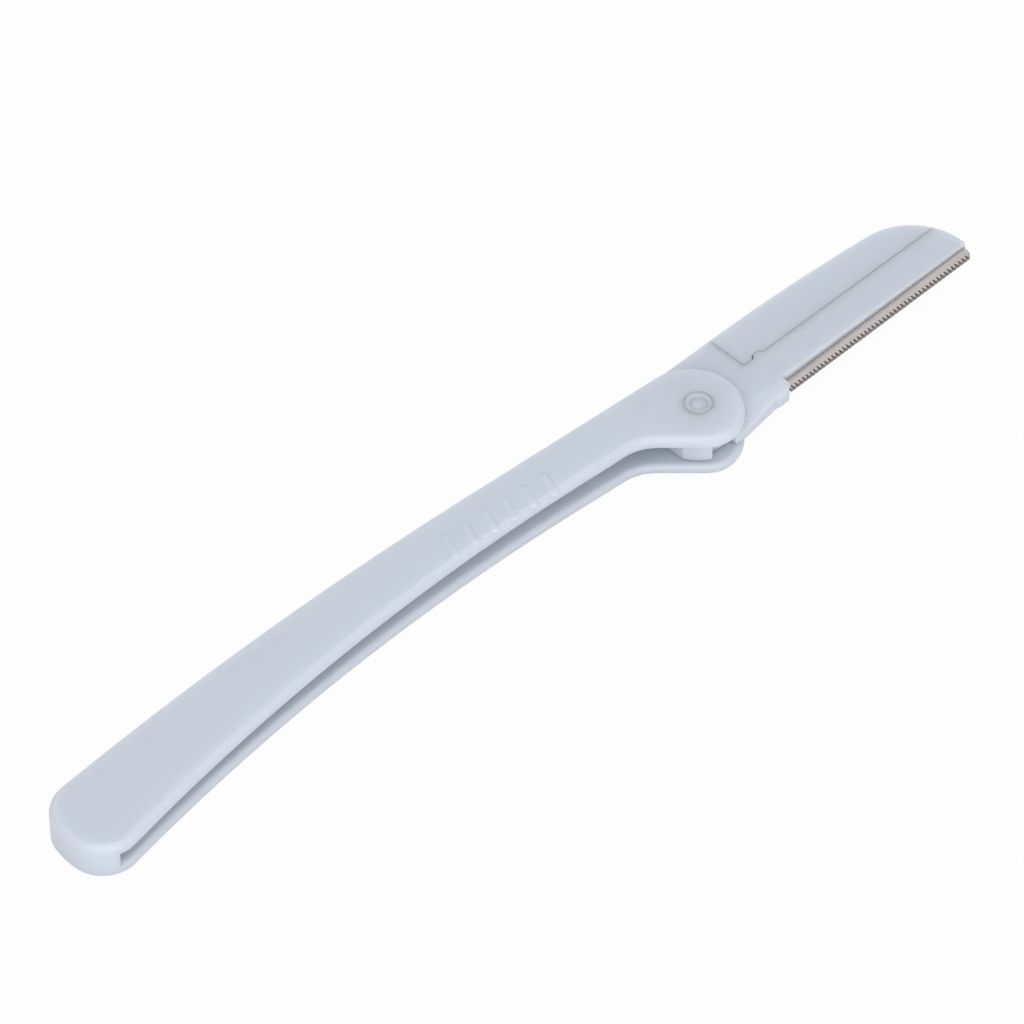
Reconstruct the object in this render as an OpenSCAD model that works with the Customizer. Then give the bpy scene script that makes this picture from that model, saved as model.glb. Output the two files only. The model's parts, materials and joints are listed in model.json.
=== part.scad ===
// Folding eyebrow razor, shown open and lying on its flat side.
// The hinge pin stands on the vertical axis, the handle runs along -X and
// the blade arm along +X. The edge of the blade faces -Y.

/* [Handle] */
// Distance from the hinge pin to the end of the tail
handle_reach = 115.4; // [95:0.1:130]
// Height of the straight part of the spine above the pin, in plan
spine_y = 7.8; // [7.4:0.1:8.2]
// Where the straight spine starts to curve, behind the pin
spine_bend_x = -35; // [-45:1:-25]
// Radius of the long curve of the spine
spine_r = 560; // [450:10:700]
// Line of the mouth edge beside the grip, in plan
mouth_y = -0.1; // [-0.6:0.1:0.4]
// Where the mouth edge starts to curve, behind the pin
mouth_bend_x = -22; // [-26:1:-18]
// Thickness over both plates at the pin
head_t = 7.2; // [6.8:0.1:8]
// Thickness over both plates at the tail
tail_t = 5.8; // [5:0.1:6.6]
// Thickness of the lower plate
plate_t = 1.6; // [1.2:0.1:1.8]
// Height of the roof of the slot at the pin
roof_head_z = 5.55; // [5.45:0.05:5.7]
// Height of the roof of the slot at its closed end
roof_tail_z = 4.1; // [3.8:0.1:4.3]
// Thickness of the web that joins the plates along the spine
web_t = 1.3; // [1:0.1:1.5]
// Solid length left at the tail end, behind the slot
tail_solid = 4.4; // [3:0.1:8]

// Distance from the middle of the open razor to the hinge pin
pin_x = 31.9; // [30:0.1:34]

/* [Tail] */
// Lowest point of the tail, in plan
tail_low_y = -10.95; // [-12:0.05:-10]
// Height of the middle of the end curve, in plan
tail_mid_y = -4.1; // [-5:0.1:-3]
// Radius of the two corners of the tail
tail_r = 5.5; // [4.5:0.1:6]
// Radius of the end curve between the corners
tail_end_r = 13; // [10:0.5:20]

/* [Ears] */
// Radius of the ears
ear_r = 7.6; // [7.4:0.05:8]
// Centre of the ears, behind the pin
ear_x = -1.2; // [-1.5:0.1:-0.8]
// Radius of the tighter curve under the ears
belly_r = 5; // [4.5:0.1:5.5]
// Slope of the line that leads from the belly to the mouth
belly_slope = 40; // [35:1:45]
// Radius of the hollow between that line and the mouth
neck_r = 7; // [5:0.5:9]
// Radius of the pocket that the heel of the arm turns in
pocket_r = 6.75; // [6.6:0.05:6.9]

/* [Grip ribs] */
// Number of ribs
rib_count = 6; // [4:1:8]
// Distance from rib to rib
rib_pitch = 3.53; // [3:0.01:4]
// Middle of the first rib, behind the pin
rib_first_x = -43.4; // [-50:0.1:-40]
// Middle of the ribs, in plan
rib_y = 1.9; // [1:0.1:2.5]
// Length of a rib
rib_l = 4.6; // [3.5:0.1:5.5]
// Width of a rib where it leaves the plate
rib_w = 1.5; // [1:0.1:1.8]
// Height of a rib
rib_h = 0.22; // [0.15:0.01:0.4]
// Lean of the ribs away from square
rib_lean = 16; // [0:1:25]

/* [Hinge] */
// Angle of the arm to the handle when open
open_angle = 5; // [0:0.5:8]
// Radius of the hinge pin
pin_r = 2.08; // [1.8:0.01:2.4]
// Running clearance round the pin in the arm
pin_gap = 0.04; // [0.02:0.01:0.08]
// Radius of the dimple in each end of the pin
dimple_r = 1.38; // [1:0.02:1.5]
// Depth of the dimple
dimple_h = 0.3; // [0.1:0.05:0.5]

/* [Blade arm] */
// Height of the spine of the arm above the pin, in plan
arm_top = 8.55; // [8.4:0.05:8.8]
// Where the spine of the arm starts to curve
arm_bend_u = 12; // [10:1:16]
// Centre of the nose along the arm
nose_u = 41.4; // [38:0.1:43]
// Centre of the nose below the pin
nose_v = -2.6; // [-3:0.1:-2]
// Radius of the nose
nose_r = 9.8; // [9.5:0.1:10.4]
// Lower edge of the plastic beside the blade
lip_v = -3.6; // [-3.8:0.05:-3.5]
// Radius of the eye round the pin
eye_r = 4.8; // [4.2:0.1:5.2]
// Radius of the heel lug
lug_r = 6.2; // [5.8:0.1:6.3]
// Thickness of the arm at the pin
arm_t = 3.4; // [3:0.1:3.6]
// Thickness of the arm at the nose
nose_t = 2.2; // [2:0.1:2.4]

/* [Clamp] */
// Seam across the arm
seam_u = 11; // [10:0.1:12]
// Seam along the arm
seam_v = 1.75; // [1.5:0.05:2.2]
// Width of the seam
seam_gap = 0.12; // [0.06:0.01:0.16]
// Height of the snap bump
bump_h = 0.6; // [0.4:0.05:0.8]

/* [Blade] */
// Start of the blade along the arm
blade_u0 = 13.4; // [13.3:0.1:14]
// End of the blade along the arm
blade_u1 = 50.8; // [50:0.1:50.8]
// Thickness of the blade
blade_t = 0.3; // [0.2:0.05:0.4]
// Outer edge of the comb guard
guard_v = -5.4; // [-5.6:0.05:-5.2]
// Thickness of the folded guard
guard_t = 0.7; // [0.6:0.05:0.8]
// Number of teeth in the guard
tooth_count = 50; // [40:1:55]
// Depth of the gaps between the teeth
tooth_h = 0.5; // [0.3:0.05:0.6]

/* [Hidden] */
$fn = 96;
eps = 0.01;
plastic = [0.79, 0.81, 0.85];
inner_plastic = [0.74, 0.76, 0.80];
steel = [0.70, 0.69, 0.69];

// Plan geometry of arcs and tangents

function arc(c, r, a0, a1, n) = [
    for (i = [0:n])
        let (a = a0 + (a1 - a0) * i / n)
        c + r * [cos(a), sin(a)]
];

// the point at distance rp from p and rq from q, left of the way from p to q
function meet(p, rp, q, rq) =
    let (
        v = q - p,
        d = norm(v),
        along = (rp * rp - rq * rq + d * d) / (2 * d),
        across = sqrt(rp * rp - along * along)
    )
    p + along * v / d + across * [-v.y, v.x] / d;

function heading(from, to) = atan2(to.y - from.y, to.x - from.x);
function turned(a) = a < 0 ? a + 360 : a;
function unit(v) = v / norm(v);

// the outline moved inwards by d, with mitred corners
function inset(pts, d) =
    let (n = len(pts))
    [
        for (i = [0:n - 1])
            let (
                before = unit(pts[i] - pts[(i + n - 1) % n]),
                after = unit(pts[(i + 1) % n] - pts[i]),
                mid = unit(before + after)
            )
            pts[i] + d / (mid * after) * [-mid.y, mid.x]
    ];

// a plate between two sloping faces with its edges rounded to a quarter ellipse:
// low and high are [height at x = 0, rise per mm of x], each edge is [width, height]
module rounded_plate(pts, low, high, low_edge, high_edge, steps) {
    n = len(pts);
    rings = concat(
        [for (k = [0:steps]) let (a = 90 * k / steps)
            [low_edge.x * (1 - sin(a)), low, low_edge.y * (1 - cos(a))]],
        [for (k = [0:steps]) let (a = 90 * k / steps)
            [high_edge.x * (1 - cos(a)), high, high_edge.y * (sin(a) - 1)]]
    );
    points = [
        for (ring = rings)
            for (p = inset(pts, ring[0]))
                [p.x, p.y, ring[1][0] + ring[1][1] * p.x + ring[2]]
    ];
    last = len(rings) - 1;
    walls = [
        for (k = [0:last - 1])
            for (i = [0:n - 1])
                let (
                    j = (i + 1) % n,
                    a = k * n + i,
                    b = (k + 1) * n + i,
                    c = (k + 1) * n + j,
                    d = k * n + j
                )
                each [[a, b, c], [a, c, d]]
    ];
    floor_face = [for (i = [0:n - 1]) i];
    roof_face = [for (i = [n - 1:-1:0]) last * n + i];
    polyhedron(points, concat([floor_face], walls, [roof_face]));
}

// Handle outline: ears, straight and curved spine, tail, mouth, neck and belly

spine_c = [spine_bend_x, spine_y - spine_r];
end_c = [tail_end_r - handle_reach, tail_mid_y];
corner_d = tail_end_r - tail_r;
top_corner_c = meet(spine_c, spine_r - tail_r, end_c, corner_d);
low_corner_y = tail_low_y + tail_r;
low_corner_c = [
    end_c.x - sqrt(pow(corner_d, 2) - pow(low_corner_y - end_c.y, 2)),
    low_corner_y
];
mouth_a = mouth_bend_x - low_corner_c.x;
mouth_b = mouth_y - low_corner_c.y;
mouth_r = (pow(mouth_a, 2) + pow(mouth_b, 2) - pow(tail_r, 2)) / (2 * (mouth_b + tail_r));
mouth_c = [mouth_bend_x, mouth_y - mouth_r];
ear_c = [ear_x, spine_y - ear_r];
belly_from = -75;
belly_to = -90 - belly_slope;
belly_c = ear_c + (ear_r - belly_r) * [cos(belly_from), sin(belly_from)];
belly_end = belly_c + belly_r * [cos(belly_to), sin(belly_to)];
neck_corner_x = belly_end.x - (mouth_y - belly_end.y) / tan(belly_slope);
neck_c = [neck_corner_x - neck_r * tan(belly_slope / 2), mouth_y - neck_r];

spine_end_a = heading(spine_c, top_corner_c);
handle_outline = concat(
    arc(ear_c, ear_r, belly_from, 90, 26),
    arc(spine_c, spine_r, 90, spine_end_a, 14),
    arc(top_corner_c, tail_r, spine_end_a + 6, turned(heading(end_c, top_corner_c)), 9),
    arc(end_c, tail_end_r, turned(heading(end_c, top_corner_c)) + 5,
        turned(heading(end_c, low_corner_c)) - 5, 2),
    arc(low_corner_c, tail_r, turned(heading(end_c, low_corner_c)),
        turned(heading(low_corner_c, mouth_c)) - 6, 12),
    arc(mouth_c, mouth_r, heading(mouth_c, low_corner_c), 90, 18),
    arc(neck_c, neck_r, 90, 90 - belly_slope, 7),
    arc(belly_c, belly_r, belly_to, belly_from - 5, 7)
);

top_slope = (head_t - tail_t) / handle_reach;
rim_cut = 0.25;
slot_end_x = tail_solid - handle_reach;
roof_slope = (roof_head_z - roof_tail_z) / -slot_end_x;
web_y = spine_y - web_t;
web_end_u = -0.75;

// plan of the gap between the plates: it is open all along the mouth
module slot_plan() {
    web_line = arc(spine_c, spine_r - web_t, 90, heading(spine_c, [slot_end_x, 0]) , 14);
    last = web_line[len(web_line) - 1];
    polygon(concat(
        [[20, -25], [20, 20]],
        [for (v = [20, web_y]) [web_end_u * cos(open_angle) - v * sin(open_angle), v]],
        web_line,
        [[slot_end_x, last.y], [slot_end_x, -25]]
    ));
    circle(pocket_r);
}

module slot_side() {
    polygon([
        [slot_end_x, plate_t],
        [20, plate_t],
        [20, roof_head_z + 20 * roof_slope],
        [slot_end_x, roof_tail_z]
    ]);
}

// a low pill, sunk in the plate
module rib() {
    end = rib_l / 2 - rib_w / 2;
    translate([0, 0, -0.5])
        linear_extrude(height = rib_h + 0.5)
            polygon(concat(
                arc([0, end], rib_w / 2, 0, 180, 8),
                arc([0, -end], rib_w / 2, 180, 360, 8)
            ));
}

// the top of the handle is a plane that falls towards the tail
module on_top() {
    translate([0, 0, head_t])
        rotate([0, -atan(top_slope), 0])
            children();
}

module handle_blank() {
    difference() {
        rounded_plate(
            handle_outline,
            [0, 0],
            [head_t + rim_cut, top_slope],
            [0.5, 0.5], [1.3, 1.25], 4
        );
        on_top()
            translate([-handle_reach - 10, -30, 0])
                cube([handle_reach + 40, 60, 5]);
    }
    on_top()
        for (i = [0:rib_count - 1])
            translate([rib_first_x + i * rib_pitch, rib_y, 0])
                rotate([0, 0, -rib_lean])
                    rib();
}

module handle() {
    color(plastic)
    translate([pin_x, 0, 0])
    difference() {
        handle_blank();
        intersection() {
            linear_extrude(height = head_t)
                slot_plan();
            rotate([90, 0, 0])
                linear_extrude(height = 80, center = true)
                    slot_side();
        }
        translate([0, 0, -1])
            cylinder(h = head_t + 2, r = pin_r);
    }
}

// Hinge pin with flush ends, each with a shallow dimple and a low button in it

module pivot_pin() {
    edge = 0.12;
    groove = 0.5;
    half = head_t / 2;
    side = [
        [0, half - dimple_h + 0.12],
        [dimple_r - groove - 0.2, half - dimple_h + 0.08],
        [dimple_r - groove, half - dimple_h],
        [dimple_r - 0.15, half - dimple_h],
        [dimple_r, half - 0.05],
        [dimple_r + 0.1, half],
        [pin_r - edge, half],
        [pin_r, half - edge]
    ];
    mirrored = [for (i = [len(side) - 1:-1:0]) [side[i].x, -side[i].y]];
    color(plastic)
    translate([pin_x, 0, half])
        rotate_extrude()
            polygon(concat(side, mirrored));
}

// Blade arm in its own frame: u along the arm, v towards its spine

bend_a = nose_u - arm_bend_u;
bend_b = arm_top - nose_v;
bend_r = (pow(bend_a, 2) + pow(bend_b, 2) - pow(nose_r, 2)) / (2 * (bend_b - nose_r));
bend_c = [arm_bend_u, arm_top - bend_r];
nose_c = [nose_u, nose_v];
nose_top_a = heading(bend_c, nose_c);
nose_low_a = asin((lip_v - nose_v) / nose_r);
shoulder_u = -0.65;
shoulder_r = 2.4;
lug_left = -5.7;
lug_top = 1;
lug_a0 = 180 + acos(-lug_left / lug_r);
lug_a1 = 243;
heel_u0 = 1.6;
heel_v0 = -6;
heel_step_u = 10.9;
heel_v1 = -5.35;
heel_u1 = 13.3;
heel_r = 0.9;
heel_crease = [6.5, -3.65];
heel_turn = -7;
heel_slope_a = 32;

head_outline = concat(
    arc(nose_c, nose_r, nose_low_a, nose_top_a, 20),
    arc(bend_c, bend_r, nose_top_a + 0.6, 90, 8),
    arc([shoulder_u + shoulder_r, arm_top - shoulder_r], shoulder_r, 90, 180, 7),
    arc([0, 0], eye_r, 180 - acos(-shoulder_u / eye_r), 180 - asin(lug_top / eye_r), 9),
    [[lug_left, lug_top]],
    arc([0, 0], lug_r, lug_a0, lug_a1, 6),
    arc([0, 0], eye_r, 251, 289, 5),
    [
        [heel_u0, heel_v0],
        [heel_u0 + 2.2, heel_v0 - 0.05],
        [heel_step_u - 0.25, heel_v1 + 0.05],
        [heel_step_u, heel_v1 - 0.15]
    ],
    arc([heel_u1 - heel_r, heel_v1 - 0.15 + heel_r], heel_r, -90, 0, 5),
    [[heel_u1, lip_v]]
);

mid_z = (plate_t + roof_head_z) / 2 - 0.075;
arm_slope = (arm_t - nose_t) / 2 / (nose_u + nose_r);

// the top of the arm is a plane that falls towards the nose
module on_arm() {
    translate([0, 0, mid_z + arm_t / 2])
        rotate([0, atan(arm_slope), 0])
            children();
}

module head_plate() {
    difference() {
        rounded_plate(
            head_outline,
            [mid_z - arm_t / 2, arm_slope],
            [mid_z + arm_t / 2 + 0.07, -arm_slope],
            [0.35, 0.35], [0.45, 0.45], 2
        );
        on_arm()
            translate([-20, -20, 0])
                cube([90, 40, 5]);
    }
}

// what is sloped off along the heel
module heel_slope() {
    on_arm()
        translate([heel_crease.x, heel_crease.y, -0.05])
            rotate([heel_slope_a, 0, heel_turn])
                translate([-5.6, -10, 0])
                    cube([15, 10, 6]);
}

// everything on the spine side of the seam, moved towards the spine by d
module clamp_plan(d) {
    foot = bump_h * 0.8;
    bump_u = 13.95;
    polygon(concat(
        [[60, seam_v + d], [60, 20], [seam_u + d, 20]],
        arc([seam_u + d + 0.4, seam_v + d + 0.4], 0.4, 180, 270, 4),
        [
            [bump_u - 0.45 - foot - d, seam_v + d],
            [bump_u - 0.45 - d, seam_v + bump_h + d],
            [bump_u + 0.45 + d, seam_v + bump_h + d],
            [bump_u + 0.45 + foot + d, seam_v + d]
        ]
    ));
}

module between(u0, u1, v0, v1, t) {
    translate([u0, v0, mid_z - t / 2])
        cube([u1 - u0, v1 - v0, t]);
}

blade_back = 0.4;
guard_back = -3;
tongue_u = [15.5, 47.5];
tongue_t = 0.7;
peg_r = 0.85;
peg_v = -1.2;
peg_u = [20, 44];

// the slot for the blade, its guard and the tongue of the clamp
module blade_slot() {
    between(blade_u0 - 0.05, blade_u1 + 0.05, lip_v - 2, guard_back, guard_t);
    difference() {
        between(blade_u0 - 0.05, 49.55, guard_back - eps, blade_back, blade_t);
        for (u = peg_u)
            translate([u, peg_v, 0])
                cylinder(h = 10, r = peg_r);
    }
    between(tongue_u[0] - 0.05, tongue_u[1] + 0.05, blade_back - eps, seam_v + 1, tongue_t + 0.06);
}

module place_arm() {
    translate([pin_x, 0, 0])
        rotate([0, 0, open_angle])
            children();
}

module blade_arm() {
    color(plastic)
    place_arm()
    difference() {
        head_plate();
        heel_slope();
        linear_extrude(height = 10)
            clamp_plan(0);
        blade_slot();
        cylinder(h = 10, r = pin_r + pin_gap);
    }
}

module blade_clamp() {
    color(plastic)
    place_arm() {
        intersection() {
            head_plate();
            linear_extrude(height = 10)
                clamp_plan(seam_gap);
        }
        between(tongue_u[0], tongue_u[1], blade_back, seam_v + 1, tongue_t);
    }
}

// the far corner of the blade and its guard is taken off
module end_corner() {
    translate([blade_u1, guard_v, 0])
        linear_extrude(height = 10)
            polygon([[-0.9, -1], [-0.9, 0], [-0.3, 0.45], [0.01, 1.2], [1, 1.2], [1, -1]]);
}

// a steel strip with a ground edge, located by two pegs of the arm
module blade() {
    color(steel)
    place_arm()
    difference() {
        union() {
            between(blade_u0, 49.5, -4.6, blade_back, blade_t);
            between(blade_u0, blade_u1, -4.6, guard_back, blade_t);
            translate([blade_u0, -4.6, mid_z])
                rotate([90, 0, 90])
                    linear_extrude(height = blade_u1 - blade_u0)
                        polygon([
                            [0, -blade_t / 2],
                            [0, blade_t / 2],
                            [-0.55, 0.03],
                            [-0.55, -0.03]
                        ]);
        }
        end_corner();
        for (u = peg_u)
            translate([u, peg_v, 0])
                cylinder(h = 10, r = peg_r + 0.05);
    }
}

// thin steel folded round the edge, notched into a comb that keeps skin off it
module comb_guard() {
    pitch = (blade_u1 - blade_u0) / tooth_count;
    gap = pitch * 0.5;
    half = guard_t / 2;
    wall = (guard_t - blade_t) / 2;
    color(inner_plastic)
    place_arm()
    difference() {
        translate([blade_u0, 0, mid_z])
            rotate([90, 0, 90])
                linear_extrude(height = blade_u1 - blade_u0)
                    polygon([
                        [guard_back, half],
                        [guard_v + 0.2, half],
                        [guard_v, half - 0.2],
                        [guard_v, 0.2 - half],
                        [guard_v + 0.2, -half],
                        [guard_back, -half],
                        [guard_back, wall - half],
                        [guard_v + 0.22, wall - half],
                        [guard_v + 0.22, half - wall],
                        [guard_back, half - wall]
                    ]);
        end_corner();
        for (i = [0:tooth_count - 1])
            between(
                blade_u0 + (i + 0.5) * pitch - gap / 2,
                blade_u0 + (i + 0.5) * pitch + gap / 2,
                guard_v - 1, guard_v + tooth_h, 2
            );
    }
}

handle();
pivot_pin();
blade_arm();
blade_clamp();
blade();
comb_guard();
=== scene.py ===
import json
import math

import bmesh
import bpy
from mathutils import Matrix, Vector


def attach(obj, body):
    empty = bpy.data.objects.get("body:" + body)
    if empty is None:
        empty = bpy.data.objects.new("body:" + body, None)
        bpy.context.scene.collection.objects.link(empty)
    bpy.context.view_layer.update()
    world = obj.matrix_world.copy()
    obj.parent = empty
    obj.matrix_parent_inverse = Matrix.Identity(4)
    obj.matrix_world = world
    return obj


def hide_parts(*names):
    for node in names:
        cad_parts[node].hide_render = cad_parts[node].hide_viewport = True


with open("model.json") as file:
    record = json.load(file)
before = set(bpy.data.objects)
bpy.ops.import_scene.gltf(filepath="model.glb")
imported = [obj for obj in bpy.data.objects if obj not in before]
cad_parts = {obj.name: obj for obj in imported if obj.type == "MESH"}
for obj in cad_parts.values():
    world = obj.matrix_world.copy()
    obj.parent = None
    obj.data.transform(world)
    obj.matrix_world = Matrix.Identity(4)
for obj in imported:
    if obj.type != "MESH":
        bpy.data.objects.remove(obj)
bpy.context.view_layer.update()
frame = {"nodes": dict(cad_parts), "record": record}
record = frame["record"]
print("frame loaded:", ", ".join(sorted(frame["nodes"])))

# Sizes are millimetres on the razor's own plan: the hinge pin is at 0, 0, the blade arm
# runs along +X and the mouth of the handle faces -Y. The meshes become metres at the end.
millimetre = 0.001
foldJoint = record["behaviour"]["joints"][0]
pinPlace = Vector(foldJoint["pos_m"]) / millimetre
openAngle = 5.0  # the open arm leans this far off the handle's line

below, above = -1, 9  # heights clear of the razor, for what cuts right through it
weld = 0.004  # points of an outline that are closer than this become one
hairline = 0.002  # the same for a finished piece
nearLevel = 0.01  # how far from a height still counts as on it


# Small helpers for plan outlines

def onCircle(centre, radius, degrees):
    angle = math.radians(degrees)
    return (centre[0] + radius * math.cos(angle), centre[1] + radius * math.sin(angle))


def heading(start, end):
    return math.degrees(math.atan2(end[1] - start[1], end[0] - start[0]))


def meet(p, fromP, q, fromQ):  # the crossing of two circles, left of the way from p to q
    dx, dy = q[0] - p[0], q[1] - p[1]
    apart = math.hypot(dx, dy)
    along = (fromP ** 2 - fromQ ** 2 + apart ** 2) / (2 * apart)
    across = math.sqrt(fromP ** 2 - along ** 2)
    return (p[0] + (along * dx - across * dy) / apart, p[1] + (along * dy + across * dx) / apart)


def vertsOf(items):
    return [item for item in items if isinstance(item, bmesh.types.BMVert)]


class Outline:
    # a chain of vertices drawn like a pencil line: straight runs, and arcs made by spin
    def __init__(self, start):
        self.bm = bmesh.new()
        self.last = self.bm.verts.new((start[0], start[1], 0))

    def line(self, *points):
        for point in points:
            made = bmesh.ops.extrude_vert_indiv(self.bm, verts=[self.last])
            self.last = made["verts"][0]
            self.last.co = Vector((point[0], point[1], 0))
        return self

    def arc(self, centre, degrees, steps):
        made = bmesh.ops.spin(
            self.bm, geom=[self.last], cent=(centre[0], centre[1], 0), axis=(0, 0, 1),
            angle=math.radians(degrees), steps=steps, use_duplicate=False)
        self.last = vertsOf(made["geom_last"])[0]
        return self

    def plate(self, low, high):  # closes the line and draws it up from one height to the other
        bm = self.bm
        bmesh.ops.remove_doubles(bm, verts=bm.verts[:], dist=weld)
        bm.verts.ensure_lookup_table()
        ends = [vert for vert in bm.verts if len(vert.link_edges) == 1]
        if len(ends) == 2:
            bm.edges.new(ends)
        face = bmesh.ops.contextual_create(bm, geom=bm.edges[:])["faces"][0]
        made = bmesh.ops.extrude_face_region(bm, geom=[face])
        top = vertsOf(made["geom"])
        for vert in bm.verts:
            vert.co.z = low(vert.co.x)
        for vert in top:
            vert.co.z = high(vert.co.x)
        bmesh.ops.recalc_face_normals(bm, faces=bm.faces[:])
        return bm


def level(height):
    return lambda x: height


def rimEdges(bm, upper):  # the sharp edges round the upper or the lower face
    sign = 1 if upper else -1
    flat, steep = 0.9, 0.3
    found = []
    for edge in bm.edges:
        normals = [face.normal.z * sign for face in edge.link_faces]
        if len(normals) == 2 and max(normals) > flat and min(normals) < steep:
            found.append(edge)
    return found


def mouthEdges(bm, height):  # the outer edges of a level face inside the plate
    found = []
    for edge in bm.edges:
        onLevel = all(abs(vert.co.z - height) < nearLevel for vert in edge.verts)
        if edge.is_convex and onLevel:
            found.append(edge)
    return found


def roundEdges(bm, edges, width, segments, clamp=True):
    bmesh.ops.bevel(
        bm, geom=edges, offset=width, offset_type="OFFSET", segments=segments,
        profile=0.5, affect="EDGES", clamp_overlap=clamp, material=-1)


def roundByWeight(piece, width, segments, weigh):
    # rounds each edge by its own share of the width
    bm = bmesh.new()
    bm.from_mesh(piece.data)
    share = bm.edges.layers.float.new("bevel_weight_edge")
    for edge in bm.edges:
        if len(edge.link_faces) == 2 and edge.is_convex:
            edge[share] = weigh(edge)
    bm.to_mesh(piece.data)
    bm.free()
    rounding = piece.modifiers.new("round", "BEVEL")
    rounding.width = width
    rounding.segments = segments
    rounding.limit_method = "WEIGHT"
    rounding.use_clamp_overlap = True
    settle(piece)
    spent = piece.data.attributes.get("bevel_weight_edge")
    if spent:
        piece.data.attributes.remove(spent)
    return piece


def roundBar(radius, low, high, sides=96):  # about the hinge pin's axis
    bm = bmesh.new()
    bmesh.ops.create_cone(
        bm, cap_ends=True, segments=sides, radius1=radius, radius2=radius,
        depth=high - low, matrix=Matrix.Translation((0, 0, (low + high) / 2)))
    return bm


def block(x0, x1, y0, y1, z0, z1):
    bm = bmesh.new()
    size = Matrix.Diagonal((x1 - x0, y1 - y0, z1 - z0, 1))
    middle = Matrix.Translation(((x0 + x1) / 2, (y0 + y1) / 2, (z0 + z1) / 2))
    bmesh.ops.create_cube(bm, size=1, matrix=middle @ size)
    return bm


def thicken(bm, distance):  # draws a flat face out along X into a bar
    made = bmesh.ops.extrude_face_region(bm, geom=bm.faces[:])
    bmesh.ops.translate(bm, verts=vertsOf(made["geom"]), vec=(distance, 0, 0))
    bmesh.ops.recalc_face_normals(bm, faces=bm.faces[:])


def solid(bm, name="scrap"):
    mesh = bpy.data.meshes.new(name)
    bm.to_mesh(mesh)
    bm.free()
    piece = bpy.data.objects.new(name, mesh)
    bpy.context.scene.collection.objects.link(piece)
    return piece


def settle(piece):  # applies the modifiers
    graph = bpy.context.evaluated_depsgraph_get()
    mesh = bpy.data.meshes.new_from_object(piece.evaluated_get(graph))
    piece.modifiers.clear()
    old = piece.data
    piece.data = mesh
    bpy.data.meshes.remove(old)


def carve(piece, tool, operation="DIFFERENCE"):  # the tool is used up
    cut = piece.modifiers.new("cut", "BOOLEAN")
    cut.operation = operation
    cut.solver = "EXACT"
    cut.object = tool
    settle(piece)
    bpy.data.objects.remove(tool)
    return piece


def softenEdges(piece, width):
    soften = piece.modifiers.new("soften", "BEVEL")
    soften.width = width * millimetre
    soften.segments = 2
    soften.limit_method = "ANGLE"
    soften.angle_limit = math.radians(30)
    soften.harden_normals = True
    soften.use_clamp_overlap = True
    even = piece.modifiers.new("even shading", "WEIGHTED_NORMAL")
    even.weight = 100
    even.keep_sharp = True


def finishPiece(piece, name, body, node, turn, material):
    # turns the piece by its angle about the pin, sets it in the frame and hands it its finish
    bm = bmesh.new()
    bm.from_mesh(piece.data)
    bmesh.ops.remove_doubles(bm, verts=bm.verts[:], dist=hairline)
    bmesh.ops.dissolve_degenerate(bm, edges=bm.edges[:], dist=hairline)
    bmesh.ops.recalc_face_normals(bm, faces=bm.faces[:])
    bm.to_mesh(piece.data)
    bm.free()
    place = (
        Matrix.Translation((pinPlace.x, pinPlace.y, 0))
        @ Matrix.Rotation(math.radians(turn), 4, "Z"))
    piece.data.transform(Matrix.Scale(millimetre, 4) @ place)
    piece.name = piece.data.name = name
    mesh = piece.data
    mesh.polygons.foreach_set("use_smooth", [True] * len(mesh.polygons))
    mesh.set_sharp_from_angle(angle=math.radians(32))
    mesh.materials.clear()
    mesh.materials.append(material)
    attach(piece, body)
    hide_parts(node)
    print("made", name, "with", len(mesh.polygons), "faces")


# Camera, at the angle of the photograph

camera = {
    "turn": -40.0,  # degrees round the razor
    "height": 47.5,  # degrees above the table
    "distance": 1.1111,
    "lens": 281.25,
    "aim": (-0.02903, 0.00584, 0.0),  # from the hinge pin, on the table
}


def makeCamera(look):
    data = bpy.data.cameras.new("camera")
    data.lens = look["lens"]
    data.sensor_width = 36.0
    data.clip_start, data.clip_end = 0.05, 20.0
    turn, height = math.radians(look["turn"]), math.radians(look["height"])
    back = Vector((
        math.sin(turn) * math.cos(height),
        -math.cos(turn) * math.cos(height),
        math.sin(height)))
    aim = Vector(look["aim"]) + Vector((pinPlace.x * millimetre, 0, 0))
    eye = bpy.data.objects.new("camera", data)
    eye.location = aim + back * look["distance"]
    eye.rotation_euler = (-back).to_track_quat("-Z", "Y").to_euler()
    bpy.context.scene.collection.objects.link(eye)
    bpy.context.scene.camera = eye


makeCamera(camera)
print("camera set")


# Materials

class Socket:
    # a shader value that takes part in sums
    def __init__(self, finish, link):
        self.finish = finish
        self.link = link

    def sum(self, operation, first, second):
        return self.finish.add("ShaderNodeMath", {"operation": operation}, {0: first, 1: second})

    def __add__(self, other):
        return self.sum("ADD", self, other)

    def __sub__(self, other):
        return self.sum("SUBTRACT", self, other)

    def __rsub__(self, other):
        return self.sum("SUBTRACT", other, self)

    def __mul__(self, other):
        return self.sum("MULTIPLY", self, other)

    __radd__ = __add__
    __rmul__ = __mul__


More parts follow.
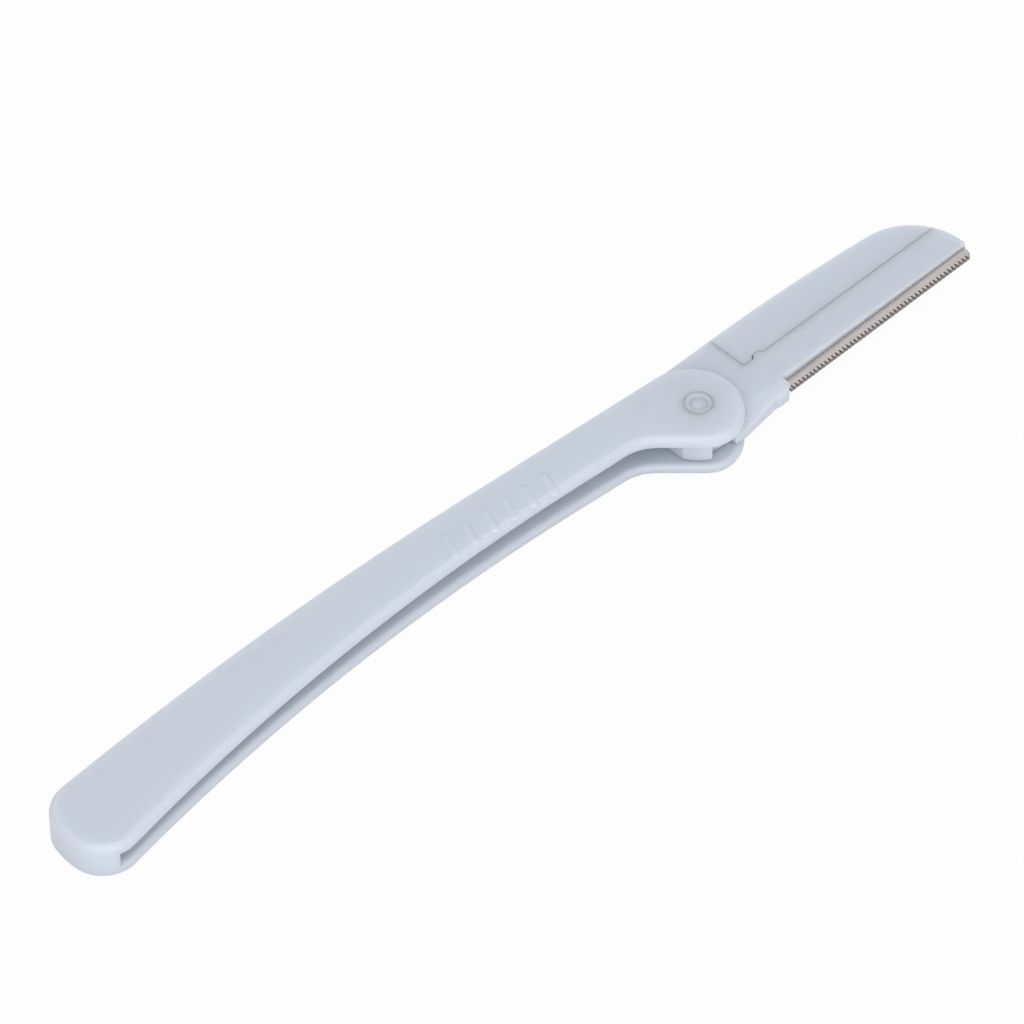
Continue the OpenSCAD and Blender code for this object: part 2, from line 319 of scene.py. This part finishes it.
class Finish:
    def __init__(self, name):
        self.material = bpy.data.materials.new(name)
        self.material.use_nodes = True
        self.tree = self.material.node_tree
        self.tree.nodes.clear()

    def add(self, kind, settings=None, inputs=None, output=0):
        node = self.tree.nodes.new(kind)
        for key, value in (settings or {}).items():
            setattr(node, key, value)
        for key, value in (inputs or {}).items():
            if isinstance(value, Socket):
                self.tree.links.new(value.link, node.inputs[key])
            else:
                node.inputs[key].default_value = value
        return Socket(self, node.outputs[output]) if node.outputs else None

    def place(self):
        return self.add("ShaderNodeTexCoord", output="Object")

    def stretched(self, scale, turn=0.0):
        return self.add("ShaderNodeMapping", None, {
            "Vector": self.place(), "Rotation": (0, 0, math.radians(turn)), "Scale": scale})

    def onArm(self, turn):  # the blade arm's own plan, from the hinge pin
        angle = math.radians(turn)
        start = Matrix.Rotation(angle, 3, "Z") @ Vector((pinPlace.x, pinPlace.y, 0)) * -millimetre
        return self.add("ShaderNodeMapping", None, {
            "Vector": self.place(), "Location": start, "Rotation": (0, 0, angle)})

    def noise(self, scale, detail=2.0, where=None):
        return self.add("ShaderNodeTexNoise", None, {
            "Vector": where or self.place(), "Scale": scale, "Detail": detail, "Roughness": 0.55})

    def blend(self, amount, first, second):
        return self.add("ShaderNodeMix", {"data_type": "RGBA"}, {
            "Factor": amount, 6: first, 7: second}, output=2)

    def bump(self, height, strength, distance):
        return self.add("ShaderNodeBump", None, {
            "Height": height, "Strength": strength, "Distance": distance})

    def surface(self, shader):
        self.add("ShaderNodeOutputMaterial", None, {"Surface": shader})
        return self.material


plastic = {
    "colour": (0.585, 0.625, 0.705, 1),
    "thin": (0.600, 0.637, 0.712, 1),  # where the moulding is a shade lighter
    "ior": 1.49, "roughness": 0.3, "coat": 0.15, "coatRoughness": 0.15,
    "depth": 0.8, "reach": 0.0035,  # metres that light travels under the surface
    # scales of the noises: shade, grain and the lines of flow
    "cloud": 38.0, "grain": 2600.0, "flow": (55.0, 240.0, 240.0),
    # how far they change the gloss, and the dents that the last two make
    "cloudGloss": 0.05, "grainGloss": 0.06,
    "grainDents": 0.4, "flowDents": 0.6, "dents": 0.05, "dentDepth": 0.0003,
}


def makePlastic(look):
    finish = Finish("whitePlastic")
    cloud = finish.noise(look["cloud"], 1.0)
    grain = finish.noise(look["grain"])
    flow = finish.noise(1.0, where=finish.stretched(look["flow"]))
    colour = finish.blend(cloud, look["colour"], look["thin"])
    roughness = look["roughness"] + (grain - 0.5) * look["grainGloss"]
    roughness = roughness + (cloud - 0.5) * look["cloudGloss"]
    dents = finish.bump(
        grain * look["grainDents"] + flow * look["flowDents"], look["dents"], look["dentDepth"])
    return finish.surface(finish.add("ShaderNodeBsdfPrincipled", None, {
        "Base Color": colour, "Roughness": roughness, "Normal": dents,
        "IOR": look["ior"], "Coat Weight": look["coat"], "Coat Roughness": look["coatRoughness"],
        "Subsurface Weight": look["depth"], "Subsurface Radius": (1.0, 1.0, 1.0),
        "Subsurface Scale": look["reach"]}))


foil = {
    "colour": (0.66, 0.605, 0.575, 1), "dull": (0.57, 0.525, 0.50, 1), "roughness": 0.36,
    "brushed": (300.0, 9000.0, 9000.0),
    # painted shade along its outer edge, for the dark reflection and shade on the fold, in
    # millimetres of the arm's plan
    "paintedEdgeShade": (0.22, 0.205, 0.20, 1), "edge": -5.4, "edgeShadeWidth": 0.3, "edgeShadeWaves": 0.1,
}
groundSteel = {
    "colour": (0.30, 0.29, 0.29, 1), "dull": (0.20, 0.19, 0.19, 1), "roughness": 0.28,
    "brushed": (9000.0, 300.0, 9000.0),
}


def makeSteel(name, look, turn):
    stainScale, glossSpread, lineStrength, lineDepth = 420.0, 0.2, 0.12, 0.00004
    finish = Finish(name)
    brushed = finish.noise(1.0, 3.0, finish.stretched(look["brushed"], turn))
    stain = finish.noise(stainScale)
    colour = finish.blend(stain, look["colour"], look["dull"])
    if "paintedEdgeShade" in look:  # painted shade: darker where the foil turns over at its outer edge, for the dark reflection and shade on the fold
        across = finish.add(
            "ShaderNodeSeparateXYZ", None, {"Vector": finish.onArm(turn)}, output=1)
        # painted shade: a ramp across the arm's plan that darkens the foil towards its outer edge
        edgeShade = finish.add("ShaderNodeMapRange", {"interpolation_type": "SMOOTHSTEP"}, {
            "Value": across + stain * (look["edgeShadeWaves"] * millimetre),
            "From Min": (look["edge"] + look["edgeShadeWidth"]) * millimetre,
            "From Max": look["edge"] * millimetre})
        colour = finish.blend(edgeShade, colour, look["paintedEdgeShade"])
    roughness = look["roughness"] + (brushed - 0.5) * glossSpread
    lines = finish.bump(brushed, lineStrength, lineDepth)
    return finish.surface(finish.add("ShaderNodeBsdfPrincipled", None, {
        "Base Color": colour, "Metallic": 1.0, "Roughness": roughness, "Normal": lines}))


whitePlastic = makePlastic(plastic)
guardSteel = makeSteel("guardSteel", foil, -openAngle)
bladeSteel = makeSteel("bladeSteel", groundSteel, -openAngle)
print("materials made")


# Handle: two plates joined along the spine and at the tail, with two ears at the head

handle = {
    "reach": 115.4, "spineY": 7.8, "spineBend": -35.0, "spineRadius": 560.0,
    "mouthY": -0.1, "mouthBend": -22.0, "headThickness": 7.2, "tailThickness": 5.8,
    "floor": 1.6, "roofHead": 5.55, "roofTail": 4.1, "web": 1.3, "tailSolid": 4.4,
    "tailLow": -10.95, "tailMiddle": -4.1, "tailRadius": 5.5, "tailEnd": 13.0,
    "ear": 7.6, "earX": -1.2, "earLow": -75.0, "belly": 5.0, "bellySlope": 40.0, "neck": 7.0,
    "pocket": 6.75, "pocketInside": 0.02,  # it keeps clear of the slot's own faces
    "webEnd": -0.75, "pinHole": 2.08,
    "topEdge": 1.3, "topCut": 0.14, "bottomEdge": 0.45, "lip": 0.8,
    # the turn at the top's rim is crisp at the tail and soft along the grip
    "crease": 0.9, "tailCrease": 0.25, "creaseFrom": -104.0, "creaseGrows": 20.0,
    "soften": 0.09,
}


def handlePlan(look):
    tailCorner = look["tailEnd"] - look["tailRadius"]
    spineC = (look["spineBend"], look["spineY"] - look["spineRadius"])
    endC = (look["tailEnd"] - look["reach"], look["tailMiddle"])
    topC = meet(spineC, look["spineRadius"] - look["tailRadius"], endC, tailCorner)
    lowY = look["tailLow"] + look["tailRadius"]
    lowC = (endC[0] - math.sqrt(tailCorner ** 2 - (lowY - endC[1]) ** 2), lowY)
    across, down = look["mouthBend"] - lowC[0], look["mouthY"] - lowC[1]
    mouthRadius = (
        (across ** 2 + down ** 2 - look["tailRadius"] ** 2) / (2 * (down + look["tailRadius"])))
    mouthC = (look["mouthBend"], look["mouthY"] - mouthRadius)
    earC = (look["earX"], look["spineY"] - look["ear"])
    bellyC = onCircle(earC, look["ear"] - look["belly"], look["earLow"])
    bellyStart = onCircle(bellyC, look["belly"], -90 - look["bellySlope"])
    slope = math.radians(look["bellySlope"])
    neckCorner = bellyStart[0] - (look["mouthY"] - bellyStart[1]) / math.tan(slope)
    neckC = (neckCorner - look["neck"] * math.tan(slope / 2), look["mouthY"] - look["neck"])
    spineTurn = heading(spineC, topC) - 90
    topTurn = heading(endC, topC) - heading(spineC, topC)
    endTurn = heading(endC, lowC) + 360 - heading(endC, topC)
    lowTurn = heading(lowC, mouthC) - heading(endC, lowC)
    mouthTurn = 90 - heading(mouthC, lowC)
    plan = Outline(onCircle(earC, look["ear"], look["earLow"]))
    plan.arc(earC, 90 - look["earLow"], 64).line((look["spineBend"], look["spineY"]))
    plan.arc(spineC, spineTurn, 24).arc(topC, topTurn, 24).arc(endC, endTurn, 8)
    plan.arc(lowC, lowTurn, 30).arc(mouthC, mouthTurn, 30).line((neckC[0], look["mouthY"]))
    plan.arc(neckC, -look["bellySlope"], 16).line(bellyStart)
    plan.arc(bellyC, look["bellySlope"] + 90 + look["earLow"], 16)
    return plan


def slotPlan(look):
    right, low, high = 20, -25, 20  # all clear of the handle
    turn = math.radians(openAngle)
    webY = look["spineY"] - look["web"]
    slotEnd = look["tailSolid"] - look["reach"]
    webLine = [
        (look["webEnd"] * math.cos(turn) - v * math.sin(turn), v) for v in (high, webY)]
    spineC = (look["spineBend"], look["spineY"] - look["spineRadius"])
    radius = look["spineRadius"] - look["web"]
    degrees = math.degrees(math.asin((look["spineBend"] - slotEnd) / radius))
    plan = Outline((right, low)).line((right, high), *webLine, (look["spineBend"], webY))
    plan.arc(spineC, degrees, 24).line((slotEnd, low))
    return plan


def topHeight(x, look=handle):
    rise = (look["headThickness"] - look["tailThickness"]) / look["reach"]
    return look["headThickness"] + rise * x


def makeHandle(look):
    bm = handlePlan(look).plate(level(0), lambda x: topHeight(x) + look["topCut"])
    roundEdges(bm, rimEdges(bm, True), look["topEdge"], segments=10)
    roundEdges(bm, rimEdges(bm, False), look["bottomEdge"], segments=5)
    planed = bmesh.ops.bisect_plane(
        bm, geom=bm.verts[:] + bm.edges[:] + bm.faces[:], plane_co=(0, 0, topHeight(0)),
        plane_no=Vector((topHeight(0) - topHeight(1), 0, 1)), clear_outer=True)
    rim = [item for item in planed["geom_cut"] if isinstance(item, bmesh.types.BMEdge)]
    bmesh.ops.contextual_create(bm, geom=rim)
    bmesh.ops.recalc_face_normals(bm, faces=bm.faces[:])

    def creaseShare(edge):
        slightTurn, flat = 0.3, 0.999
        flattest = max(face.normal.z for face in edge.link_faces)
        if edge.calc_face_angle() < slightTurn or flattest < flat:
            return 0
        x = (edge.verts[0].co.x + edge.verts[1].co.x) / 2
        grown = (x - look["creaseFrom"]) / look["creaseGrows"]
        return min(1, max(look["tailCrease"], grown))

    return roundByWeight(solid(bm), look["crease"], 5, creaseShare)


def openSlot(shell, look):
    slotEnd = look["tailSolid"] - look["reach"]
    rise = (look["roofHead"] - look["roofTail"]) / -slotEnd
    gap = slotPlan(look).plate(level(look["floor"]), lambda x: look["roofHead"] + rise * x)
    carve(shell, solid(gap))
    inside = look["pocketInside"]
    pocket = roundBar(look["pocket"], look["floor"] + inside, look["roofHead"] - inside, 160)
    for vert in pocket.verts:
        if vert.co.z > look["floor"] + 1:  # its upper end follows the slope of the roof
            vert.co.z += rise * vert.co.x
    carve(shell, solid(pocket))
    # the lip is rounded before the pin's hole is cut, while the slot's floor is one plain face
    bm = bmesh.new()
    bm.from_mesh(shell.data)
    bmesh.ops.dissolve_limit(bm, angle_limit=0.0005, verts=bm.verts[:], edges=bm.edges[:])
    roundEdges(bm, mouthEdges(bm, look["floor"]), look["lip"], segments=8, clamp=False)
    bm.to_mesh(shell.data)
    bm.free()
    carve(shell, solid(roundBar(look["pinHole"], below, above)))


ribs = {
    "count": 6, "pitch": 3.53, "firstX": -43.4, "y": 1.9, "length": 4.6, "width": 1.5,
    "height": 0.12, "sunk": 0.12, "round": 0.72, "lean": 16.0,
    "rounded": 0.99,  # the share of its height that is rounded, short of a closed edge
    "foot": 1.0,  # how far the dome goes on down, before it is flattened
}


def makeRib(look, x):  # a long low dome, sunk in the plate so that its foot is shallow
    side = look["width"] / 2
    half = (look["length"] - look["width"]) / 2
    plan = Outline((side, -half)).line((side, half))
    plan.arc((0, half), 180, 16).line((-side, -half)).arc((0, -half), 180, 16)
    bm = plan.plate(level(-look["foot"]), level(look["round"]))
    roundEdges(bm, rimEdges(bm, True), look["round"] * look["rounded"], segments=8)
    flatten = (look["height"] + look["sunk"]) / look["round"]
    place = (
        Matrix.Translation((x, look["y"], topHeight(x) - look["sunk"]))
        @ Matrix.Rotation(math.radians(-look["lean"]), 4, "Z")
        @ Matrix.Diagonal((1, 1, flatten, 1)))
    bmesh.ops.transform(bm, verts=bm.verts[:], matrix=place)
    return solid(bm)


handlePiece = makeHandle(handle)
for index in range(ribs["count"]):
    rib = makeRib(ribs, ribs["firstX"] + index * ribs["pitch"])
    carve(handlePiece, rib, "UNION")
openSlot(handlePiece, handle)
finishPiece(handlePiece, "handleShell", "handle", "handle", 0, whitePlastic)
softenEdges(handlePiece, handle["soften"])


# Hinge pin: flush with both faces, a shallow dimple with a low button in each end

pin = {
    "radius": 2.07, "length": 7.2, "edge": 0.12,
    "dimple": 1.38, "depth": 0.36, "dimpleWall": 0.18, "dimpleEdge": 0.12, "dimpleTurn": 0.06,
    "groove": 0.45, "button": 0.14, "buttonEdge": 0.25, "buttonRim": 0.1,
}


def makePin(look):
    half = look["length"] / 2
    bottom = half - look["depth"]
    buttonRadius = look["dimple"] - look["groove"]
    bm = bmesh.new()
    side = [
        (0, bottom + look["button"]),
        (buttonRadius - look["buttonEdge"], bottom + look["buttonRim"]),
        (buttonRadius, bottom),
        (look["dimple"] - look["dimpleWall"], bottom),
        (look["dimple"], half - look["dimpleTurn"]),
        (look["dimple"] + look["dimpleEdge"], half),
        (look["radius"] - look["edge"], half),
        (look["radius"], half - look["edge"]),
    ]
    rim = [bm.verts.new((x, 0, half + z)) for x, z in side]
    rim += [bm.verts.new((x, 0, half - z)) for x, z in reversed(side)]
    edges = [bm.edges.new(pair) for pair in zip(rim, rim[1:])]
    bmesh.ops.spin(
        bm, geom=rim + edges, cent=(0, 0, 0), axis=(0, 0, 1), angle=math.tau, steps=96,
        use_merge=True, use_duplicate=False)
    bmesh.ops.remove_doubles(bm, verts=bm.verts[:], dist=0.0005)
    bmesh.ops.recalc_face_normals(bm, faces=bm.faces[:])
    return solid(bm)


finishPiece(makePin(pin), "hingePin", "handle", "pivot_pin", 0, whitePlastic)


# Blade arm and clamp: one plate split by a seam, with the blade between its cheeks

arm = {
    "top": 8.55, "bend": 12.0, "noseU": 41.4, "noseV": -2.6, "nose": 9.8, "lip": -3.6,
    "shoulder": -0.65, "shoulderRadius": 2.4, "eye": 4.8, "bore": 2.12,
    "lug": 6.2, "lugLeft": -5.7, "lugTop": 1.0, "lugEnd": 243.0,
    "hollowStart": 251.0, "hollow": 38.0,  # degrees of the eye's round that show past the lug
    "heelU": 1.6, "heelV": -6.0, "heelFlat": 2.2, "heelDrop": 0.05,
    "stepU": 10.9, "stepV": -5.35, "stepRun": 0.25, "stepRise": 0.05, "step": 0.15,
    "heelEnd": 13.3, "heelRadius": 0.9,
    "middle": 3.5, "thickness": 3.4, "noseThickness": 2.2,
    "edge": 0.4, "lipEdge": 0.7, "soften": 0.08,
    "creaseU": 6.5, "creaseV": -3.65, "creaseTurn": -7.0,
    "slope": 32.0, "ease": 2.2, "slopeLeft": -5.6, "slopeLength": 15, "slopeOut": 8,
    "slopeUp": 6, "slopeAbove": 0.03,
    "seamU": 11.0, "seamV": 1.75, "seamGap": 0.16, "seamCorner": 0.4,
    "bumpU": 13.95, "bumpHalf": 0.45, "bump": 0.6, "bumpFoot": 0.8,
    "slot": 0.7, "slotBack": -3.0, "slotEnds": 0.05, "bladeStart": 13.4, "bladeEnd": 50.8,
    "mouthEase": 0.15, "mouthDepth": 0.3, "mouthEnds": 0.1,  # the slot opens a little at the lip
}


def headPlan(look):
    noseC = (look["noseU"], look["noseV"])
    across, down = look["noseU"] - look["bend"], look["top"] - look["noseV"]
    bendRadius = (across ** 2 + down ** 2 - look["nose"] ** 2) / (2 * (down - look["nose"]))
    bendC = (look["bend"], look["top"] - bendRadius)
    noseLow = math.degrees(math.asin((look["lip"] - look["noseV"]) / look["nose"]))
    noseTop = heading(bendC, noseC)
    lugStart = 180 + math.degrees(math.acos(-look["lugLeft"] / look["lug"]))
    eyeTop = 180 - math.degrees(math.acos(-look["shoulder"] / look["eye"]))
    eyeLow = 180 - math.degrees(math.asin(look["lugTop"] / look["eye"]))
    stepLow = look["stepV"] - look["step"]
    corner = look["heelRadius"]
    heelC = (look["heelEnd"] - corner, stepLow + corner)
    plan = Outline(onCircle(noseC, look["nose"], noseLow))
    plan.arc(noseC, noseTop - noseLow, 48).arc(bendC, 90 - noseTop, 20)
    shoulder = look["shoulderRadius"]
    shoulderC = (look["shoulder"] + shoulder, look["top"] - shoulder)
    plan.line((shoulderC[0], look["top"])).arc(shoulderC, 90, 16)
    plan.line(onCircle((0, 0), look["eye"], eyeTop)).arc((0, 0), eyeLow - eyeTop, 16)
    plan.line((look["lugLeft"], look["lugTop"]), onCircle((0, 0), look["lug"], lugStart))
    plan.arc((0, 0), look["lugEnd"] - lugStart, 16)
    plan.line(onCircle((0, 0), look["eye"], look["hollowStart"])).arc((0, 0), look["hollow"], 12)
    plan.line(
        (look["heelU"], look["heelV"]),
        (look["heelU"] + look["heelFlat"], look["heelV"] - look["heelDrop"]),
        (look["stepU"] - look["stepRun"], look["stepV"] + look["stepRise"]),
        (look["stepU"], stepLow), (heelC[0], heelC[1] - corner))
    plan.arc(heelC, 90, 10).line((look["heelEnd"], look["lip"]))
    return plan


def makeHead(look):
    narrowing = (look["thickness"] - look["noseThickness"]) / 2 / (look["noseU"] + look["nose"])
    low = look["middle"] - look["thickness"] / 2
    high = look["middle"] + look["thickness"] / 2
    bm = headPlan(look).plate(lambda u: low + narrowing * u, lambda u: high - narrowing * u)

    def rimShare(edge):  # the lip and the corner at its end are rounder than the rest
        first, second = edge.verts
        lip = all(abs(vert.co.y - look["lip"]) < nearLevel for vert in edge.verts)
        upright = abs(first.co.z - second.co.z) > 1
        if upright:
            return 1 if lip and first.co.x > look["noseU"] else 0
        return 1 if lip else look["edge"] / look["lipEdge"]

    return roundByWeight(solid(bm), look["lipEdge"], 6, rimShare)


def clampPlan(look, apart):  # all that lies on the spine side of the seam
    right, high = 60, 20  # clear of the arm
    u, v, corner = look["seamU"] + apart, look["seamV"] + apart, look["seamCorner"]
    peak, foot = v + look["bump"], look["bump"] * look["bumpFoot"]
    left = look["bumpU"] - look["bumpHalf"] - apart
    far = look["bumpU"] + look["bumpHalf"] + apart
    plan = Outline((right, v)).line((right, high), (u, high), (u, v + corner))
    plan.arc((u + corner, v + corner), 90, 8)
    plan.line((left - foot, v), (left, peak), (far, peak), (far + foot, v))
    return plan.plate(level(0), level(above))


def heelSlope(look):  # what is planed off the heel, with a soft turn out of the top
    slope = math.radians(look["slope"])
    top = look["middle"] + look["thickness"] / 2 + look["slopeAbove"]
    turn = look["ease"] / math.tan(slope / 2)
    left, out, up = look["slopeLeft"], -look["slopeOut"], top + look["slopeUp"]
    bm = bmesh.new()
    last = bm.verts.new((left, look["ease"], top))
    made = bmesh.ops.spin(
        bm, geom=[last], cent=(left, look["ease"], top - turn), axis=(1, 0, 0), angle=slope,
        steps=8, use_duplicate=False)
    last = vertsOf(made["geom_last"])[0]
    foot = (left, out, top + out * math.tan(slope))
    for place in (foot, (left, out, up), (left, look["ease"], up)):
        last = bmesh.ops.extrude_vert_indiv(bm, verts=[last])["verts"][0]
        last.co = place
    bm.verts.ensure_lookup_table()
    bm.edges.new([vert for vert in bm.verts if len(vert.link_edges) == 1])
    bmesh.ops.contextual_create(bm, geom=bm.edges[:])
    thicken(bm, look["slopeLength"])
    place = (
        Matrix.Translation((look["creaseU"], look["creaseV"], 0))
        @ Matrix.Rotation(math.radians(look["creaseTurn"]), 4, "Z"))
    bmesh.ops.transform(bm, matrix=place, verts=bm.verts[:])
    return solid(bm)


def bladeSlot(look, ends, back, half):  # a cut along the lip, up to back
    start, end, out = look["bladeStart"] - ends, look["bladeEnd"] + ends, look["lip"] - 2
    return solid(block(start, end, out, back, look["middle"] - half, look["middle"] + half))


def makeArm(look):
    piece = makeHead(look)
    half = look["slot"] / 2
    carve(piece, solid(clampPlan(look, 0)))
    carve(piece, heelSlope(look))
    mouthBack, mouthHalf = look["lip"] + look["mouthDepth"], half + look["mouthEase"]
    carve(piece, bladeSlot(look, look["slotEnds"], look["slotBack"], half))
    carve(piece, bladeSlot(look, look["mouthEnds"], mouthBack, mouthHalf))
    return carve(piece, solid(roundBar(look["bore"], below, above)))


armPiece = makeArm(arm)
finishPiece(armPiece, "armBody", "arm", "blade_arm", openAngle, whitePlastic)
softenEdges(armPiece, arm["soften"])

clampPiece = carve(makeHead(arm), solid(clampPlan(arm, arm["seamGap"])), "INTERSECT")
finishPiece(clampPiece, "clampCap", "arm", "blade_clamp", openAngle, whitePlastic)
softenEdges(clampPiece, arm["soften"])


# Blade and comb guard: folded foil with fifty teeth, the ground edge shows between them

guard = {
    "start": 13.4, "end": 50.8, "edge": -5.4, "back": -3.0, "thickness": 0.7, "wall": 0.2,
    "teeth": 50, "toothDepth": 0.6, "gapShare": 0.36, "middle": 3.5, "foldInside": 0.24,
    # the turn of the fold, in halves of the thickness, inwards from the edge and up
    "fold": ((0.6, 1.0), (0.18, 0.72), (0.0, 0.3)),
    # the far corner, from the end and from the edge
    "corner": ((-0.9, 0), (-0.55, 0.15), (-0.25, 0.5), (0.02, 1.2)),
}
blade = {"thickness": 0.3, "ground": 0.6, "tip": 0.24, "tipThickness": 0.08}


def drawn(look, profile):  # a profile across the edge, drawn out along it
    bm = bmesh.new()
    ring = [bm.verts.new((look["start"], v, look["middle"] + z)) for v, z in profile]
    edges = [bm.edges.new(pair) for pair in zip(ring, ring[1:] + ring[:1])]
    bmesh.ops.contextual_create(bm, geom=edges)
    thicken(bm, look["end"] - look["start"])
    return solid(bm)


def endCorner(look):  # what is taken off the far corner of the blade and its guard
    points = [(look["end"] + u, look["edge"] + v) for u, v in look["corner"]]
    out = look["edge"] - 1
    plan = Outline((points[0][0], out)).line(
        *points, (look["end"] + 1, points[-1][1]), (look["end"] + 1, out))
    return solid(plan.plate(level(0), level(above)))


def makeGuard(look):  # a folded strip with a notch cut in for each tooth's gap
    pitch = (look["end"] - look["start"]) / look["teeth"]
    gap = pitch * look["gapShare"]
    half, inner = look["thickness"] / 2, look["thickness"] / 2 - look["wall"]
    edge, back, inside = look["edge"], look["back"], look["edge"] + look["foldInside"]
    outer = [(back, half)] + [(edge + half * v, half * z) for v, z in look["fold"]]
    profile = outer + [(v, -z) for v, z in reversed(outer)]
    profile += [(back, -inner), (inside, -inner), (inside, inner), (back, inner)]
    piece = drawn(look, profile)
    out, high = 1, 2  # clear of the foil
    comb = bmesh.new()
    size = Matrix.Diagonal((gap, out + look["toothDepth"], high, 1))
    for tooth in range(look["teeth"]):
        middle = look["start"] + (tooth + 0.5) * pitch
        place = Matrix.Translation((middle, edge + (look["toothDepth"] - out) / 2, look["middle"]))
        bmesh.ops.create_cube(comb, size=1, matrix=place @ size)
    carve(piece, endCorner(look))
    return carve(piece, solid(comb))


def makeBlade(look, fit):  # a strip that fits in the guard
    half, tip = look["thickness"] / 2, look["tipThickness"] / 2
    ground, edge = fit["edge"] + look["ground"], fit["edge"] + look["tip"]
    strip = drawn(fit, [
        (fit["back"], -half), (fit["back"], half), (ground, half),
        (edge, tip), (edge, -tip), (ground, -half)])
    return carve(strip, endCorner(fit))


finishPiece(
    makeGuard(guard), "combGuard", "arm", "comb_guard", openAngle, guardSteel)
finishPiece(
    makeBlade(blade, guard), "bladeStrip", "arm", "blade", openAngle, bladeSteel)


# Floor, lamps and world

paleFloor = {
    "colour": (0.86, 0.865, 0.875, 1), "seen": 0.94, "mirrored": 0.5,
    "size": 3.0, "under": 0.00002,  # just clear of the razor's flat side
}


def makeFloor(look):
    finish = Finish("paleFloor")
    ray = finish.add("ShaderNodeLightPath", output="Is Camera Ray")
    glossy = finish.add("ShaderNodeLightPath", output="Is Glossy Ray")
    card = finish.add("ShaderNodeBsdfDiffuse", None, {"Color": look["colour"]})
    glow = finish.add("ShaderNodeEmission", None, {"Color": (1, 1, 1, 1), "Strength": 1.0})
    seen = finish.add("ShaderNodeMath", {"operation": "MAXIMUM"}, {
        0: ray * look["seen"], 1: glossy * look["mirrored"]})
    both = finish.add("ShaderNodeMixShader", None, {0: seen, 1: card, 2: glow})
    bm = bmesh.new()
    bmesh.ops.create_grid(bm, x_segments=2, y_segments=2, size=look["size"])
    floor = solid(bm, "floor")
    floor.location = (0, 0, -look["under"])
    floor.data.materials.append(finish.surface(both))


lamps = {
    "front": {"place": (-0.78, -1.24, 0.87), "size": 1.8, "power": 16.0},
    "over": {"place": (0.25, 0.45, 1.6), "size": 1.6, "power": 4.2},
}
sky = {"colour": (0.96, 0.98, 1.0, 1), "strength": 0.655}


def makeLamp(name, look):
    data = bpy.data.lights.new(name, "AREA")
    data.shape = "SQUARE"
    data.size = look["size"]
    data.energy = look["power"]
    lamp = bpy.data.objects.new(name, data)
    lamp.location = look["place"]
    lamp.rotation_euler = (-Vector(look["place"])).to_track_quat("-Z", "Y").to_euler()
    bpy.context.scene.collection.objects.link(lamp)


def makeWorld(look):
    world = bpy.data.worlds.new("studio")
    bpy.context.scene.world = world
    world.use_nodes = True
    background = world.node_tree.nodes["Background"]
    background.inputs["Color"].default_value = look["colour"]
    background.inputs["Strength"].default_value = look["strength"]


makeFloor(paleFloor)
for lampName, lampLook in lamps.items():
    makeLamp(lampName, lampLook)
makeWorld(sky)

scene = bpy.context.scene
scene.view_settings.view_transform = "Standard"
print("stage set")
